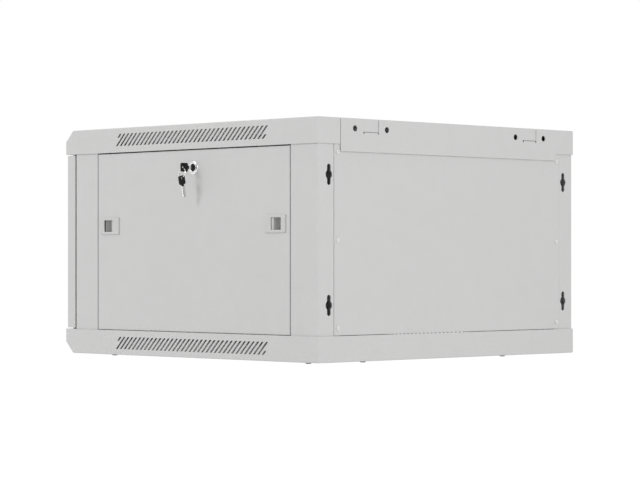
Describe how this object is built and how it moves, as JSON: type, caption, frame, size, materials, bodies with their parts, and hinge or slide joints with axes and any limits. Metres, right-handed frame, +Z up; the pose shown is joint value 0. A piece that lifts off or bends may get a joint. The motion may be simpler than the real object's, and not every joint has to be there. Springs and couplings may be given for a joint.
{
  "type": "wall mount network cabinet",
  "caption": "Light grey sheet steel wall mount cabinet for 19 inch equipment, with lift-off side panels, slide latches, cylinder locks, slanted vents, a glazed door and wall keyholes.",
  "frame": {"origin": "on the wall plane, at the middle of the four wall keyholes", "axes": "+Y out of the back into the wall, +X to the right seen from the front, +Z up"},
  "size_m": [0.6307, 0.6, 0.3749],
  "materials": {
    "powder_coat": "fine textured light grey powder coat",
    "rack_steel": "light grey powder coat, same as the frame",
    "latch_plastic": "satin moulded plastic, panel grey",
    "door_glass": "clear toughened glass",
    "seal_rubber": "matt black",
    "lock_chrome": "bright chrome",
    "lock_core": "black face",
    "zinc_steel": "zinc plated",
    "key_plastic": "black moulded key head",
    "key_steel": "nickel plated",
    "black_screw": "black oxide",
    "white_screw": "white painted"
  },
  "bodies": {
    "cabinet": {"bottom_cable_plate": "powder_coat", "bottom_cover": "powder_coat", "bottom_cover_screws": "black_screw", "front_post_left": "powder_coat", "front_post_right": "powder_coat", "front_rack_rail_left": "rack_steel", "front_rack_rail_right": "rack_steel", "hanger_beam": "powder_coat", "lower_depth_rail_left": "powder_coat", "lower_depth_rail_right": "powder_coat", "rack_rail_bolts": "zinc_steel", "rack_rail_nuts": "zinc_steel", "rear_bottom_beam": "powder_coat", "rear_panel": "powder_coat", "rear_panel_screws": "white_screw", "rear_post_left": "powder_coat", "rear_post_right": "powder_coat", "rear_rack_rail_left": "rack_steel", "rear_rack_rail_right": "rack_steel", "top_cable_plate": "powder_coat", "top_cover": "powder_coat", "top_cover_screws": "black_screw", "upper_depth_rail_left": "powder_coat", "upper_depth_rail_right": "powder_coat"},
    "door": {"door_frame": "powder_coat", "door_glass": "door_glass", "door_glass_seal": "seal_rubber", "door_lock_barrel": "lock_chrome", "door_lock_nut": "zinc_steel", "top_hinge_pin": "zinc_steel", "bottom_hinge_pin": "zinc_steel"},
    "door_cam": {"door_lock_plug": "lock_core", "door_lock_cam": "zinc_steel"},
    "right_panel": {"side_panel_right": "powder_coat", "right_front_latch_housing": "latch_plastic", "right_rear_latch_housing": "latch_plastic", "right_lock_barrel": "lock_chrome", "right_lock_nut": "zinc_steel"},
    "left_panel": {"side_panel_left": "powder_coat", "left_front_latch_housing": "latch_plastic", "left_rear_latch_housing": "latch_plastic", "left_lock_barrel": "lock_chrome", "left_lock_nut": "zinc_steel"},
    "right_front_slider": {"right_front_latch_slider": "latch_plastic"},
    "right_rear_slider": {"right_rear_latch_slider": "latch_plastic"},
    "left_front_slider": {"left_front_latch_slider": "latch_plastic"},
    "left_rear_slider": {"left_rear_latch_slider": "latch_plastic"},
    "right_cam": {"right_lock_plug": "lock_core", "right_lock_cam": "zinc_steel"},
    "left_cam": {"left_lock_plug": "lock_core", "left_lock_cam": "zinc_steel"},
    "key": {"key_blade": "key_steel", "key_bow": "key_plastic"},
    "key_ring": {"key_ring": "key_steel"},
    "spare_key": {"spare_key_bow": "key_plastic", "spare_key_blade": "key_steel"}
  },
  "joints": [
    {"name": "door_hinge", "type": "hinge", "parent": "cabinet", "child": "door", "pos_m": [0.29, -0.5886, 0], "axis": [0, 0, 1], "range_deg": [0, 180]},
    {"name": "door_lock_turn", "type": "hinge", "parent": "door", "child": "door_cam", "pos_m": [-0.264, -0.5976, 0], "axis": [0, 1, 0], "range_deg": [-90, 0]},
    {"name": "right_panel_off", "type": "slide", "parent": "cabinet", "child": "right_panel", "axis": [1, 0, 0], "range_m": [0, 0.06]},
    {"name": "left_panel_off", "type": "slide", "parent": "cabinet", "child": "left_panel", "axis": [-1, 0, 0], "range_m": [0, 0.06]},
    {"name": "right_front_latch", "type": "slide", "parent": "right_panel", "child": "right_front_slider", "axis": [0, -1, 0], "range_m": [0, 0.008]},
    {"name": "right_rear_latch", "type": "slide", "parent": "right_panel", "child": "right_rear_slider", "axis": [0, 1, 0], "range_m": [0, 0.008]},
    {"name": "left_front_latch", "type": "slide", "parent": "left_panel", "child": "left_front_slider", "axis": [0, -1, 0], "range_m": [0, 0.008]},
    {"name": "left_rear_latch", "type": "slide", "parent": "left_panel", "child": "left_rear_slider", "axis": [0, 1, 0], "range_m": [0, 0.008]},
    {"name": "right_lock_turn", "type": "hinge", "parent": "right_panel", "child": "right_cam", "pos_m": [0.298, -0.28215, 0.1155], "axis": [1, 0, 0], "range_deg": [0, 90]},
    {"name": "left_lock_turn", "type": "hinge", "parent": "left_panel", "child": "left_cam", "pos_m": [-0.298, -0.28215, 0.1155], "axis": [1, 0, 0], "range_deg": [0, 90]},
    {"name": "key_slide", "type": "slide", "parent": "right_cam", "child": "key", "axis": [1, 0, 0], "range_m": [0, 0.025]},
    {"name": "key_ring_swing", "type": "hinge", "parent": "key", "child": "key_ring", "pos_m": [0.3205, -0.28215, 0.114], "axis": [0, 1, 0], "range_deg": [-65, 18]},
    {"name": "spare_key_swing", "type": "hinge", "parent": "key_ring", "child": "spare_key", "pos_m": [0.32302, -0.28215, 0.09972], "axis": [0, 1, 0], "range_deg": [-60, 3]}
  ]
}
